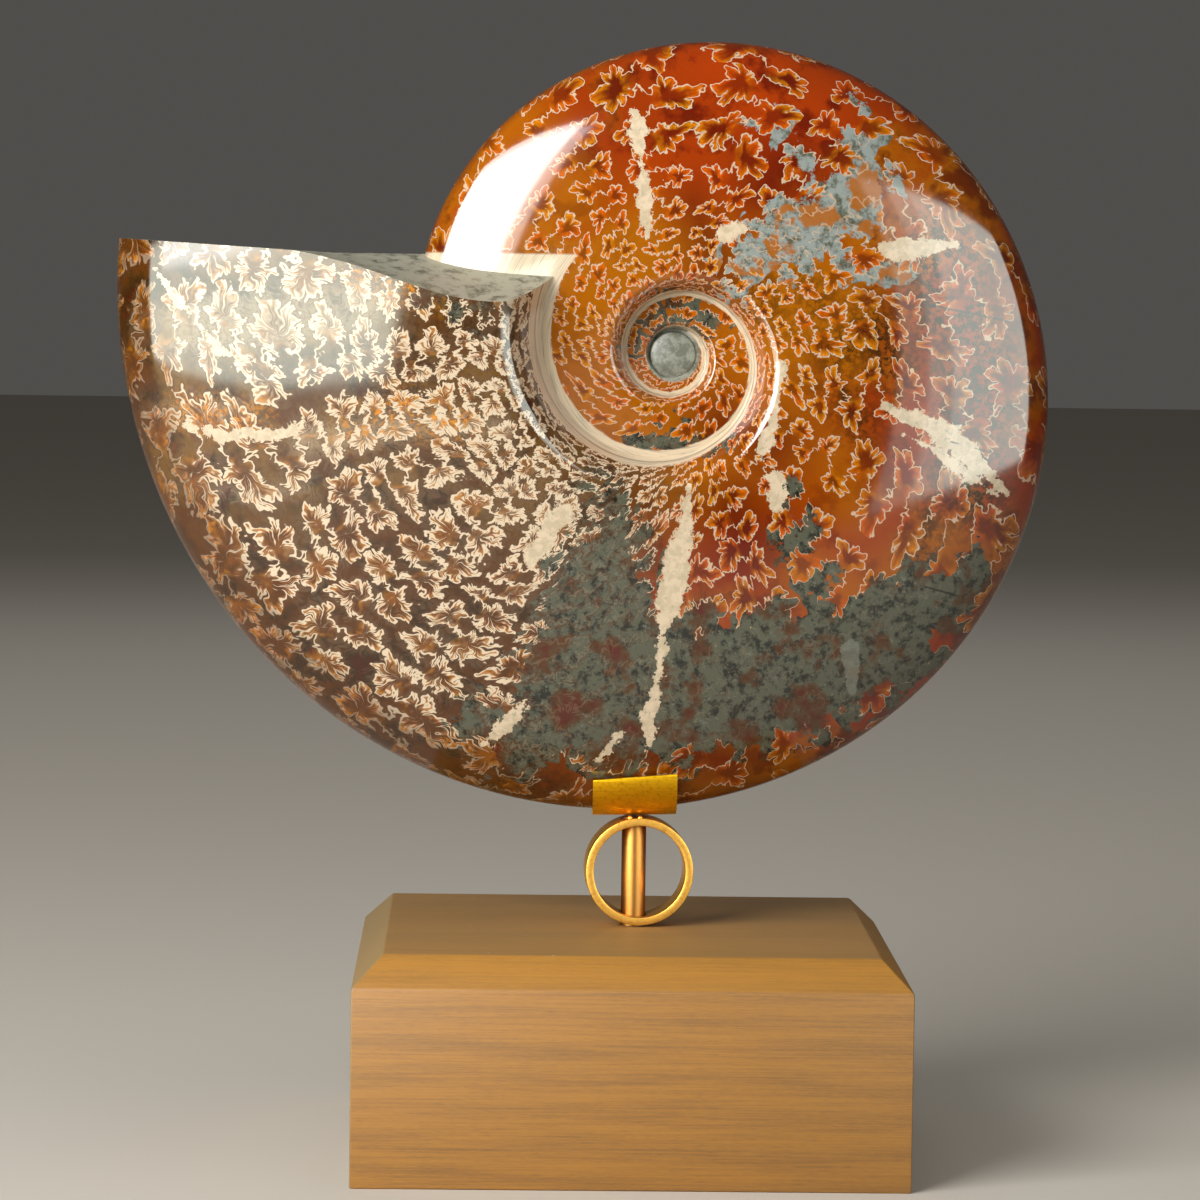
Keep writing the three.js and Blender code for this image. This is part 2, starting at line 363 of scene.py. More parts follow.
def leaf_blade(shader, ahead, off, chance, full, late):
    """How far places are from the outline of a lobed leaf, and how far out they are on it, from 0 to 1."""
    middle = shader.vector("LENGTH", {0: shader.join(ahead, off)}, 1)
    bearing = shader.math("ARCTAN2", off, ahead)
    twist = shader.math("SINE", bearing * 2 + chance[1] * 6) * LEAF_TWIST
    lobes = chance[1] * LOBE_SPREAD + (LOBES - LOBE_SPREAD / 2) + late * LATE_LOBES
    lobes = lobes * (full * (1 - FEWEST_LOBES) + FEWEST_LOBES)
    angle = (bearing + twist + (chance[0] - 0.5) * LEAF_TILT) * lobes * 0.5
    wave = shader.math("COSINE", angle)
    square = wave * wave + LOBE_SOFTNESS
    lobe = shader.math("POWER", square, LOBE_ROUNDNESS)
    small_wave = shader.math("COSINE", angle * 3)
    small_lobe = shader.math("SQRT", small_wave * small_wave + SMALL_LOBE_SOFTNESS)
    radii, length, heart, small_length = [late * (last - first) + first for first, last in LEAF_SHAPE]
    small_length = small_length * full
    size = radii * (1 - chance[2] * LEAF_RADIUS_SPREAD)
    size = (ahead / shader.most(middle, SMALLEST) * LEAF_FAN + 1) * size
    size = size * (shader.math("SINE", bearing * 3 + chance[0] * 6) * LEAF_UNEVENNESS + 1)
    reach = size * (length * lobe + heart + small_lobe * small_length)
    # How fast the outline's radius changes round the leaf, to keep the line even.
    change = length * lobe / square * wave * shader.math("SINE", angle) * LOBE_ROUNDNESS
    change = change + small_wave * shader.math("SINE", angle * 3) / small_lobe * small_length * 1.5
    steep = shader.least(abs(size * change * lobes) / shader.most(middle, reach), STEEPEST)
    blade = (middle - reach) / shader.math("SQRT", steep * steep + 1)
    return blade, middle / shader.most(size, SMALLEST)


def sutures(shader, turn, roll, radius, septa):
    """Gives the distance to the nearest suture line in millimetres, how much of a place is inside a leaf, how
    near it is to a lobe's tip, from 0 to 1, and how much of it is in the late part near the aperture."""
    late = shader.ramp(LATE_FROM, LATE_TO, turn)
    x, y, ragged, unit = septal_places(shader, turn, roll, radius, septa, late)
    septum = shader.math("ROUND", x)
    side = x - septum
    way = shader.math("SIGN", side)
    out = abs(side)
    # Each septum's leaves are shifted by chance, and those on its two sides stand by turns.
    shift, _, _ = shader.chances(shader.join(septum, 0.0, 0.5))
    rows = y / LEAF_PERIOD - way * 0.25 + shift
    row = shader.math("ROUND", rows)
    off = (rows - row) * LEAF_PERIOD
    chance = shader.chances(shader.join(septum, row, way))
    ahead = (out - LEAF_MIDDLE) / LEAF_LENGTHENING
    blade, tip = leaf_blade(shader, ahead, off, chance, shader.ramp(*FULL_RADII, radius), late)
    scallops = abs(shader.math("SINE", (out + chance[1]) * (STEM_LOBES * math.pi))) * STEM_LOBE
    stem = shader.most(abs(off) - scallops - (STEM - STEM_LOBE / 2), out - LEAF_MIDDLE)
    leaf = shader.math("SMOOTH_MIN", blade, stem, JOIN)
    base = shader.math("SMOOTH_MAX", out, abs(off) - (LEAF_PERIOD / 2 - STEM), JOIN)
    across = way * shader.math("SMOOTH_MIN", leaf, base, JOIN) + ragged
    inside = shader.ramp(0.0, -INSIDE_EDGE, leaf) * shader.ramp(0.0, INSIDE_FROM, out)
    return across * unit, inside, tip, late


# Where the markings lie, the same on both sides, as (x, z, width) in millimetres.
SHELL_REMAINS = [
    [(-12.3, 107.3, 3.6), (-14.5, 103, 3.2), (-16.5, 99.5, 2.6)],
    [(8.9, 111.5, 0.6), (8.2, 105, 2.2), (7.0, 99, 4.4), (5.6, 92.2, 4.4), (5.5, 90.5, 3.6)],
    [(4.9, 88.5, 0.8), (4.2, 80, 1.4), (2.6, 73, 2.2), (3.0, 69, 1.2)],
    [(-18.1, 74.9, 2.2), (-21, 71.6, 2.4), (-24.1, 68.6, 0.8)],
    [(-2.2, 69.9, 1.4), (-5.4, 65.5, 0.7)],
    [(41.5, 150.6, 3.4), (46, 151, 3.2), (52.3, 151.8, 1)],
    [(40.7, 125, 1), (46, 123, 2.6), (51.5, 120.2, 4), (56, 116.4, 3.4), (61.6, 110.8, 0.8)],
    [(44.3, 120.5, 0.4), (50, 117.6, 1.2), (54.2, 114.4, 2), (60.2, 110.3, 0.6)],
    [(22.9, 113.3, 2.6), (23.3, 108.9, 2.4)],
    [(-0.4, 172.4, 1.6), (-0.3, 170, 2.4), (0.4, 165, 1), (1.1, 157.5, 2.8), (1.6, 152.6, 0.6)],
    [(14.6, 153, 3.2), (16.9, 154.3, 2)],
    [(21.2, 117.5, 2), (22.4, 123, 1.6), (23.8, 131, 1.4)],
    [(-79, 146, 0.3), (-75, 140.5, 1.3), (-72.5, 138, 0.6), (-68, 132.5, 1.4), (-62, 131, 0.3)],
    [(-75, 121, 0.8), (-68, 119, 1.8), (-60, 119, 1.6), (-54, 120.5, 0.6)],
]
ROCK_AREAS = [
    [(-4.1, 109.5, 6), (-5.5, 94, 20), (-5.3, 79, 30), (9.6, 78.4, 26), (27.8, 80, 22), (44.4, 87.5, 17),
     (54, 96, 10)],
    [(-5.3, 79, 26), (-18.3, 69, 14), (-26.7, 74.5, 7)],
    [(25.5, 109, 3), (28.5, 102, 4), (32.5, 90, 8), (34, 84, 10)],
    [(-33, 142.5, 3), (-26, 141, 5)],
    [(0.7, 136.9, 1.4), (5.6, 139.5, 2), (10.6, 139, 0.8)],
    [(0.9, 118.8, 1.4), (6.7, 118.9, 2.4), (14.1, 119, 1)],
]
TEAL_AREAS = [
    [(17.6, 147.1, 9), (24.9, 152.1, 11), (34.8, 157.1, 12), (38.5, 165, 7), (36, 171, 3)],
    [(40.7, 144.9, 6), (34, 147, 4)],
    [(19.8, 171.7, 3), (27, 166, 3)],
]
GLASSY_REMAINS = [
    [(36, 84.7, 3.4), (36.4, 81, 2.4), (36.6, 77.5, 1.3)],
]
# Frosted cream areas high on the left of the last whorl: partly real cream, partly painted sheen where the
# light's reflection falls.
FROSTED_AND_SHEEN_AREAS = [
    [(-80, 136, 10), (-62, 138, 12), (-46, 140, 10)],
    [(-82, 124, 5), (-70, 122, 5), (-60, 126, 4)],
    [(-76, 111, 3), (-64, 109, 4), (-52, 111, 3)],
    [(-54, 118, 7), (-38, 121, 7), (-22, 121, 5)],
]
ORANGE_AREAS = [
    [(-46, 121, 4), (-38, 123.5, 5), (-28, 121, 4)],
    [(-74, 123, 3), (-62, 121.5, 3)],
    [(-47, 146, 2.5), (-40, 144, 3), (-34, 142.5, 3)],
]
OLIVE_AREAS = [
    [(32.5, 134.2, 6), (39.1, 137.5, 8), (42.5, 131, 8)],
    [(37, 122, 5), (33.5, 128, 4)],
    [(48, 104, 5), (50, 110, 5)],
    [(50, 150, 16), (57, 130, 16), (55, 112, 14)],
]
SCARLET_AREAS = [
    [(14.9, 181, 16), (22.3, 172, 12), (30, 172, 8)],
    [(6, 163, 8), (14, 161, 8)],
]
RED_AREAS = [
    [(24, 164, 9), (20, 160, 7)],
    [(13.5, 147, 8), (9, 158, 4)],
    [(15, 121.5, 9), (22, 119, 8)],
    [(4, 65.5, 6), (18, 66.5, 9)],
    [(18.2, 101, 9), (16, 108, 8)],
    [(-33, 96, 8), (-26, 100, 8)],
]
HONEY_AREAS = [
    [(-26, 163, 9), (-20, 172, 10), (-12.9, 161.4, 8)],
    [(0.4, 146.8, 8), (3, 155, 4)],
    [(25, 139, 8), (34, 138, 9)],
    [(33, 117, 8), (35.4, 109.6, 9)],
    [(28, 97, 9), (38, 93, 9), (50, 102, 8)],
]
CRACKS = [
    [(48.2, 141.7, 0.1), (64.5, 138.6, 0.2)],
    [(47.4, 95.5, 0.1), (58.9, 92.2, 0.1)],
    [(52, 119.3, 0.1), (60, 117.2, 0.2)],
]


# The fossil's noises, each with its shift in millimetres, scale per millimetre, detail and roughness.
CLOUDS = (NO_SHIFT, 0.04, 3.0, 0.5)
WISPS = ((31, 7, 11), 0.16, 4.0, 0.6)
MOSS = ((5, 17, 3), 0.8, 6.0, 0.75)
MOTTLE = (NO_SHIFT, 0.55, 5.0, 0.7)
PALE_CLOUDS = ((9, 4, 1), 0.09, 4.0, 0.6)
FROST = ((2, 6, 4), 0.12, 3.0, 0.5)
PATCHES = (NO_SHIFT, 0.12, 6.0, 0.68)
RAGS = (NO_SHIFT, 0.4, 5.0, 0.72)
# The calcite, in millimetres. Pairs are where a colour starts and where it is full.
CALCITE_IOR = 1.6
POLISH = 0.08
HONEY_FADE = 7
RED_FADE = 8
OLIVE_FADE = 5
FROST_FADE = 3
ORANGE_FADE = 4
HONEY_RADII = (36, 16)
RED_RADII = (14, 42)
# The upper part of the last whorl, where the pale tint comes in; there it is partly painted sheen.
SHEEN_HEIGHTS = (95, 115)
# The suture line and the colours beside it, in millimetres. A decay is how fast a colour fades away.
BARE_ROLLS = (0.2, 0.1)
LINE_RADII = (5, 40)
LINE_WIDTH = 0.04
LATE_LINE_WIDTH = 0.09
LINE_EDGE = 0.12
OUTLINE_WIDTH = 0.6
OUTLINE_EDGE = 0.1
GLOW_DECAY = 1.7
LATE_GLOW_DECAY = 2.3
HALO_DECAY = 4.4
FROST_SPREAD = 3.2
# The rock and the shell remains, in millimetres.
ROCK_EDGE = (-0.3, 0.3)
ROCK_RAGGED = 26
ROCK_ROUND_LEAVES = 1.8
TEAL_RAGGED = 0.8
SHELL_EDGE = (0.12, -0.12)
SHELL_RAGGED = 5.4
GLASSY_RAGGED = 0.5
CRACK_WIDTH = 0.12
CRACK_WANDER = 1.5
RIM_ROLL = 0.075
CORE_EDGE = (CORE_RIM[3][1] + 2.6, CORE_RIM[3][1] + 2)
# The shell along the umbilical seam, in millimetres.
BAND_WIDTH = 0.65
BAND_GROWTH = 1.7
BAND_TURNS = (math.radians(150), math.radians(350))
BAND_RAGGED = 1.1
INNER_BAND_SHARE = 0.6
APERTURE_TURN = 5.0
SEAM_THREAD = (0.2, 0.05)
BAND_THREAD = (0.16, 0.04)


class FossilShader(Shader):
    """The fossil's material. It holds the places and noises that its layers of colour share, and each paint
    method lays some layers over the ones before. The numbers given to a ramp with a noise are the noise's
    levels where a colour starts and is full, and a number after it is the colour's full share."""

    def __init__(self, look):
        super().__init__("polished_calcite", {"IOR": CALCITE_IOR})
        self.look = look
        self.ground = look.amber
        _, _, self.height = self.split(self.place)
        self.turn, self.roll, _ = self.split(self.uv)
        self.flat = self.vector("MULTIPLY", {0: self.place, 1: (1, 0, 1)})
        hub = self.vector("SUBTRACT", {0: self.flat, 1: (COIL_X, 0, COIL_Z)})
        self.radius = self.vector("LENGTH", {0: hub}, 1)
        self.distance, self.inside, self.tip, self.late = sutures(
            self, self.turn, self.roll, self.radius, look.septa)
        self.gap = abs(self.distance)
        self.early = 1 - self.late
        self.bare = 1 - self.late * self.ramp(*BARE_ROLLS, abs(self.roll)) * 0.8
        self.clouds, self.wisps, self.moss, self.mottle = [
            self.pattern(*noise) for noise in (CLOUDS, WISPS, MOSS, MOTTLE)]

    def pattern(self, shift, scale, detail, roughness):
        place = self.moved(self.place, shift) if any(shift) else self.place
        return self.noise(place, scale, detail, roughness)

    def area(self, areas, reach):
        """A share that is 1 inside areas and fades out over a reach in millimetres."""
        return self.ramp(reach, -reach, self.streaks(self.flat, areas))

    def paint(self, colour, share):
        """Lays a colour over the ones so far."""
        self.ground = self.tint(self.ground, colour, share)

    def paint_calcite(self):
        """Amber with yellow, red and mossy clouds, and brown near the aperture, with a pale tint high on the
        last whorl that is partly painted sheen.
        """
        look = self.look
        self.paint(look.honey, self.ramp(0.44, 0.64, self.clouds + (self.wisps - 0.5) * 0.5))
        golden = self.area(HONEY_AREAS, HONEY_FADE)
        self.paint(look.honey, golden * 0.8)
        red = self.ramp(0.47, 0.64, self.wisps) * (0.8 - golden * 0.6)
        red = red * (self.ramp(*RED_RADII, self.radius) * 0.7 + 0.3)
        red = self.most(self.area(RED_AREAS, RED_FADE) * 0.9, red)
        self.paint(look.honey, self.ramp(*HONEY_RADII, self.radius) * 0.85)
        self.paint(look.scarlet, self.area(SCARLET_AREAS, RED_FADE) * 0.85)
        self.paint(look.ruby, red)
        mossy = self.most(self.area(OLIVE_AREAS, OLIVE_FADE), self.ramp(0.6, 0.75, self.clouds) * 0.6)
        self.paint(look.olive, mossy * self.ramp(0.42, 0.56, self.moss))
        brown = self.tint(look.umber, look.olive, self.ramp(0.4, 0.62, self.wisps))
        self.paint(brown, self.late)
        # Pale calcite between the late leaves, laid only on the upper part of the last whorl: partly real
        # colour, partly painted sheen.
        pale = self.ramp(0.48, 0.6, self.pattern(*PALE_CLOUDS))
        self.paint(look.mauve_and_sheen, self.late * pale * self.ramp(*SHEEN_HEIGHTS, self.height) * 0.8)
        self.paint(look.ruby, self.late * self.ramp(0.58, 0.68, self.wisps) * 0.35)

    def paint_leaves(self):
        """Dark hearts and bright edges in the suture's leaves, and a pale halo round the late ones, whiter
        and wider in frosted areas that are partly painted sheen.
        """
        look = self.look
        heart = self.ramp(0.75, 0.2, self.tip)
        self.paint(look.leaf, self.inside * self.early * (heart * 0.35 + 0.2))
        bark = self.tint(look.umber, look.honey, self.ramp(0.44, 0.66, self.wisps) * 0.6)
        self.paint(bark, self.inside * self.late * (heart * 0.4 + 0.45))
        fingers = self.ramp(0.45, 0.85, self.tip) * self.ramp(0.38, 0.58, self.moss) * self.inside * self.late
        self.paint(look.flame, fingers * 0.5)
        spread = self.math("EXPONENT", self.gap * (self.late * -LATE_GLOW_DECAY - GLOW_DECAY))
        glow = self.tint(look.glow, look.flame, self.ramp(0.4, 0.6, self.wisps))
        glow = self.tint(glow, look.shell, self.late * self.ramp(0.4, 0.6, self.moss) * 0.75)
        self.paint(glow, spread * self.inside * self.ramp(0.25, 0.55, self.tip))
        # Frosted places whiten and widen the halo; in the frosted areas this is partly painted sheen.
        frost_and_sheen = self.ramp(0.4, 0.6, self.pattern(*FROST))
        frost_and_sheen = self.most(frost_and_sheen * 0.4, self.area(FROSTED_AND_SHEEN_AREAS, FROST_FADE)) * self.late
        halo = self.math("EXPONENT", self.gap * (frost_and_sheen * FROST_SPREAD - HALO_DECAY)) * self.late
        self.paint(look.shell, halo * self.bare * (frost_and_sheen * 0.42 + 0.42))
        self.paint(look.flame, self.ramp(0.48, 0.58, self.moss) * self.area(ORANGE_AREAS, ORANGE_FADE))

    def paint_rock(self):
        """Grey-green rock and the blue-grey patch. Gives the share of each."""
        look = self.look
        leafy = self.math("SIGN", self.distance) * ROCK_ROUND_LEAVES
        patchy = (self.pattern(*PATCHES) - 0.5) * ROCK_RAGGED + leafy
        rock = self.ramp(*ROCK_EDGE, patchy - self.streaks(self.flat, ROCK_AREAS))
        stone = self.tint(look.matrix, look.slate, self.ramp(0.46, 0.62, self.mottle))
        stone = self.tint(stone, look.ash, self.ramp(0.55, 0.7, self.moss) * 0.5)
        stone = self.tint(stone, look.umber, self.ramp(0.5, 0.6, self.wisps) * 0.8)
        stone = self.tint(stone, look.ruby, self.ramp(0.6, 0.68, self.wisps) * 0.7)
        self.paint(stone, rock)
        teal = self.tint(look.teal, look.matrix, self.ramp(0.45, 0.65, self.mottle))
        teal = self.tint(teal, look.honey, self.ramp(0.54, 0.6, self.wisps) * 0.9)
        cold = self.ramp(*ROCK_EDGE, patchy * TEAL_RAGGED - self.streaks(self.flat, TEAL_AREAS))
        self.paint(teal, cold)
        return rock, cold

    def paint_lines(self, hidden):
        """The suture lines. They thin towards the middle, and have a dark edge near the aperture."""
        look = self.look
        fineness = self.ramp(*LINE_RADII, self.radius) * 0.5 + 0.5
        width = (self.late * LATE_LINE_WIDTH + LINE_WIDTH) * fineness
        line = 1 - self.ramp(width, width + LINE_EDGE, self.gap)
        outline = self.ramp(width + OUTLINE_WIDTH, width + OUTLINE_EDGE, self.gap)
        outline = outline * self.ramp(width - OUTLINE_EDGE, width + OUTLINE_EDGE * 2, self.gap)
        self.paint(look.umber, outline * self.late * (1 - self.inside) * 0.8)
        line_colour = self.tint(look.suture, look.honey, self.early * 0.3)
        self.paint(line_colour, line * self.bare * (1 - hidden))

    def paint_shell(self):
        """Cream and glassy remains of the shell."""
        look = self.look
        ragged = (self.pattern(*RAGS) - 0.5) * SHELL_RAGGED
        cream = self.ramp(*SHELL_EDGE, self.streaks(self.flat, SHELL_REMAINS) + ragged)
        shell = self.tint(look.shell, look.suture, self.ramp(0.4, 0.6, self.mottle))
        self.paint(self.tint(shell, look.ash, self.ramp(0.55, 0.68, self.moss) * 0.6), cream)
        glassy = self.ramp(*SHELL_EDGE, self.streaks(self.flat, GLASSY_REMAINS) + ragged * GLASSY_RAGGED)
        self.paint(look.ash, glassy * 0.5)

    def seam_reach(self, turn):
        """How far out the umbilical seam is at a turn, in millimetres."""
        growth = turn * self.look.seam_growth + turn * turn * SEAM_QUICKENING
        return self.math("EXPONENT", growth) * (self.look.seam_radius / MM)

    def band_width(self, turn):
        return self.ramp(*BAND_TURNS, turn) * BAND_GROWTH + BAND_WIDTH

    def paint_seam(self):
        """Cream shell on both sides of the umbilical seam, with thin dark lines along it."""
        look = self.look
        later = self.turn + FULL_TURN
        own = self.radius - self.seam_reach(self.turn)
        left = self.seam_reach(later) - self.radius
        width = self.band_width(self.turn)
        later_width = self.band_width(later)
        covered = self.ramp(CUT_Z + 0.5, CUT_Z, self.height)
        covered = self.most(covered, self.ramp(APERTURE_TURN + 0.2, APERTURE_TURN, later))
        covered = covered * self.ramp(LAST_TURN + 0.02, LAST_TURN, later)
        along = self.join(self.turn * 2.5, own * 2.2)
        ragged = (self.noise(along, 1.6, 4.0, 0.7) - 0.5) * BAND_RAGGED
        band = self.ramp(*SHELL_EDGE, own - width + ragged)
        inner_band = self.ramp(*SHELL_EDGE, left - later_width * INNER_BAND_SHARE + ragged) * covered
        strands = self.noise(self.moved(along, (4, 4, 0), (1, 2.4, 1)), 1.0, 4.0, 0.6)
        striped = self.tint(look.suture, look.ash, self.ramp(0.5, 0.66, strands) * 0.6)
        striped = self.tint(striped, look.honey, self.ramp(0.6, 0.75, ragged + 0.5) * 0.5)
        self.paint(striped, self.most(band, inner_band))
        thread = self.ramp(*BAND_THREAD, abs(own - width * 0.55)) * 0.6
        self.paint(look.slate, self.most(self.ramp(*SEAM_THREAD, own), thread) * 0.7)

    def paint_rim(self):
        """A brown outer rim and dark cracks."""
        self.paint(self.look.umber, self.ramp(RIM_ROLL, 0.0, abs(self.roll)) * 0.6)
        wander = (self.wisps - 0.5) * CRACK_WANDER
        crack = self.ramp(CRACK_WIDTH, 0.0, self.streaks(self.flat, CRACKS) + wander)
        self.paint(self.look.slate, crack * 0.8)

    def paint_core(self):
        """Grey rock on the disc in the middle. Gives its share."""
        core = self.ramp(*CORE_EDGE, self.radius)
        self.paint(self.tint(self.look.ash, self.look.matrix, self.ramp(0.4, 0.6, self.mottle)), core)
        return core


def fossil_material(look):
    shader = FossilShader(look)
    shader.paint_calcite()
    shader.paint_leaves()
    rock, cold = shader.paint_rock()
    shader.paint_lines(shader.most(rock * 0.93, cold * 0.4))
    shader.paint_shell()
    shader.paint_seam()
    shader.paint_rim()
    core = shader.paint_core()
    return shader.finish(shader.ground, Roughness=core * 0.4 + rock * 0.04 + POLISH)


def stone_material(look):
    shader = Shader("aperture_stone", {"Roughness": 0.45})
    mottle = shader.noise(shader.place, 0.45, 6.0, 0.7)
    stone = shader.tint(look.cut, look.matrix, shader.ramp(0.46, 0.66, mottle))
    flecks = shader.ramp(0.62, 0.72, shader.noise(shader.place, 0.9, 3.0))
    return shader.finish(shader.tint(stone, look.shell, flecks * 0.5))


# The brush marks' scale per millimetre, across and along them.
BRUSHED_ACROSS = 2.2
BRUSHED_ALONG = 0.12
BRASS_ROUGHNESS = 0.3
# The wood's rings, per millimetre of height and depth, and how far they bow.
RING_RISE = 1.15
RING_DEPTH = 0.32
RING_BOW = 14
# The stretch of the wood's noises per millimetre.
DRIFT_STRETCH = (0.012, 0.05, 0.05)
FIBRE_STRETCH = (0.05, 2.2, 3.0)
FINE_STRETCH = (0.5, 5.0, 8.0)
# A pale tint on the top, partly dust and partly painted light from above.
DUST_AND_TOP_LIGHT_COLOUR = (0.6, 0.52, 0.4)


def brass_material(look, name, axis, light):
    """Satin brass, brushed along one axis and finely speckled."""
    shader = Shader(name, {"Metallic": 1.0})
    stretched = [BRUSHED_ACROSS] * 3
    stretched[axis] = BRUSHED_ALONG
    brushed = shader.noise(shader.moved(shader.place, NO_SHIFT, stretched), 1.0, 4.0, 0.6)
    speck = shader.noise(shader.place, 1.6, 4.0, 0.65)
    metal = shader.tint(light, look.brass_dark, shader.ramp(0.48, 0.72, speck) * 0.45)
    metal = shader.tint(metal, look.brass_dark, shader.ramp(0.5, 0.75, brushed) * 0.35)
    return shader.finish(metal, Roughness=brushed * 0.2 + BRASS_ROUGHNESS)


def wood_material(look):
    """Straight-grained wood with the grain along X."""
    shader = Shader("oiled_wood", {"Roughness": 0.55})
    place = shader.place
    drift = shader.noise(shader.moved(place, NO_SHIFT, DRIFT_STRETCH), 1.0, 3.0)
    _, y, z = shader.split(place)
    rings = shader.math("SINE", z * RING_RISE + y * RING_DEPTH + drift * RING_BOW)
    fibres = shader.noise(shader.moved(place, (3, 9, 1), FIBRE_STRETCH), 1.0, 6.0, 0.7)
    fine = shader.noise(shader.moved(place, (8, 2, 6), FINE_STRETCH), 1.0, 4.0, 0.7)
    grain = rings * 0.035 + fibres * 0.7 + fine * 0.45
    wood = shader.tint(look.wood, look.wood_dark, shader.ramp(0.42, 0.8, grain))
    wood = shader.tint(wood, look.wood_dark, shader.ramp(0.58, 0.7, fine) * 0.4)
    # The top and the left end are greyer, picked by the way each face looks; on the top this is partly wear
    # and dust and partly painted light from above. The front chamfer is paler.
    across, _, up = shader.split(shader.node("ShaderNodeNewGeometry", {}, 1))
    top = shader.ramp(0.85, 0.97, up)
    wood = shader.tint(wood, look.top_and_end_wood, shader.most(top * 0.5, shader.ramp(-0.2, -0.5, across)))
    edge = shader.ramp(0.4, 0.6, up) * shader.ramp(0.95, 0.85, up) * shader.ramp(-0.5, -0.2, across)
    wood = shader.tint(wood, look.wood_edge, edge * 0.3)
    dust = shader.ramp(0.68, 0.76, shader.noise(place, 0.9, 3.0, 0.7))
    return shader.finish(shader.tint(wood, DUST_AND_TOP_LIGHT_COLOUR, dust * top * 0.7))


def new_object(name, mesh):
    piece = bpy.data.objects.new(name, mesh)
    bpy.context.scene.collection.objects.link(piece)
    return piece


def new_piece(name, bm):
    """Turns a bmesh into an object with its faces outwards."""
    bmesh.ops.recalc_face_normals(bm, faces=bm.faces)
    mesh = bpy.data.meshes.new(name)
    bm.to_mesh(mesh)
    bm.free()
    return new_object(name, mesh)


def combined(target, others, operation):
    """Joins others to target, or cuts them from it, and removes them."""
    for other in others:
        modifier = target.modifiers.new("boolean", "BOOLEAN")
        modifier.operation = operation
        modifier.solver = "MANIFOLD"
        modifier.object = other
    bpy.context.view_layer.update()
    graph = bpy.context.evaluated_depsgraph_get()
    mesh = bpy.data.meshes.new_from_object(target.evaluated_get(graph), depsgraph=graph)
    if not mesh.polygons:
        raise RuntimeError(f"{target.name} has no faces after {operation}")
    target.modifiers.clear()
    target.data = mesh
    for other in others:
        bpy.data.objects.remove(other)
    return target


# Edges are sharp where the surface turns by more than these angles.
FOSSIL_SHARP = math.radians(32)
BRASS_SHARP = math.radians(50)
WOOD_SHARP = math.radians(25)


def finished(piece, materials, node, sharp_angle=BRASS_SHARP):
    """Gives a piece its finish and puts it in place of its plain solid."""
    piece.data.materials.clear()
    for material in materials:
        piece.data.materials.append(material)
    piece.data.shade_smooth()
    piece.data.set_sharp_from_angle(angle=sharp_angle)
    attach(piece, "root")
    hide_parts(node)


class Coil:
    """The coil's shape, in millimetres."""

    def __init__(self, look):
        self.look = look

    def venter_radius(self, turn):
        return self.look.venter_radius / MM * math.exp(self.look.venter_growth * turn)

    def seam_radius(self, turn):
        growth = self.look.seam_growth * turn + SEAM_QUICKENING * turn ** 2
        return self.look.seam_radius / MM * math.exp(growth)

    def flank_height(self, turn, radius):
        seam = self.seam_radius(turn)
        share = min((radius - seam) / (self.venter_radius(turn) - seam), 1)
        bulge = math.sqrt(max(1 - max(share, 0) ** FLANK_POWER, 0))
        return self.look.fullness * self.venter_radius(turn) * bulge

    def section_point(self, turn, across):
        """The radius and height of a place on the whorl. Across is 0 at the seam and 1 at the venter."""
        seam = self.seam_radius(turn)
        shoulder = seam * (1 + self.look.wall_share)
        if across >= WALL_ACROSS:
            left = (1 - across) / (1 - WALL_ACROSS)
            radius = self.venter_radius(turn) - (self.venter_radius(turn) - shoulder) * left ** 2
            return radius, self.flank_height(turn, radius)
        climb = across / WALL_ACROSS
        radius = seam + (shoulder - seam) * climb
        foot = self.flank_height(turn - FULL_TURN, seam) - SEAM_SINK
        rise = 1 - (1 - climb) ** 2
        return radius, foot + (self.flank_height(turn, radius) - foot) * rise


def whorl_stretch(coil, first_ring):
    """One closed stretch of the coil. Its UV map holds the turn, and the way from the venter as a share of
    the radius, with a sign for the side."""
    bm = bmesh.new()
    uv = bm.loops.layers.uv.new("coil")
    rings = STRETCH_RINGS + 1
    columns = 2 * SIDE_POINTS
    bmesh.ops.create_grid(bm, x_segments=rings, y_segments=columns, size=0.5, calc_uvs=True)
    ring_turn = (LAST_TURN - FIRST_TURN) / (STRETCHES * STRETCH_RINGS)
    sections = []
    for ring in range(rings + 1):
        turn = FIRST_TURN + (first_ring + ring) * ring_turn
        points = [coil.section_point(turn, index / SIDE_POINTS) for index in range(SIDE_POINTS + 1)]
        rolls = [0.0]
        for (r0, h0), (r1, h1) in zip(points[::-1], points[-2::-1]):
            rolls.append(rolls[-1] + math.hypot(r1 - r0, h1 - h0) / ((r0 + r1) / 2))
        sections.append((turn, points, rolls[::-1]))
    for vert in bm.verts:
        ring = round((vert.co.x + 0.5) * rings)
        column = round((vert.co.y + 0.5) * columns) - SIDE_POINTS
        turn, points, _ = sections[ring]
        radius, height = points[SIDE_POINTS - abs(column)]
        angle = START_ANGLE - turn
        side = (column > 0) - (column < 0)
        x = COIL_X + radius * math.cos(angle)
        z = COIL_Z + radius * math.sin(angle)
        vert.co = Vector((x, side * height, z)) * MM
    for face in bm.faces:
        for loop in face.loops:
            ring = round(loop[uv].uv.x * rings)
            column = round(loop[uv].uv.y * columns) - SIDE_POINTS
            turn, _, rolls = sections[ring]
            loop[uv].uv = (turn, math.copysign(rolls[SIDE_POINTS - abs(column)], column))
    bmesh.ops.holes_fill(bm, edges=bm.edges, sides=0)
    bmesh.ops.triangulate(bm, faces=[face for face in bm.faces if len(face.verts) > 4])
    return bm


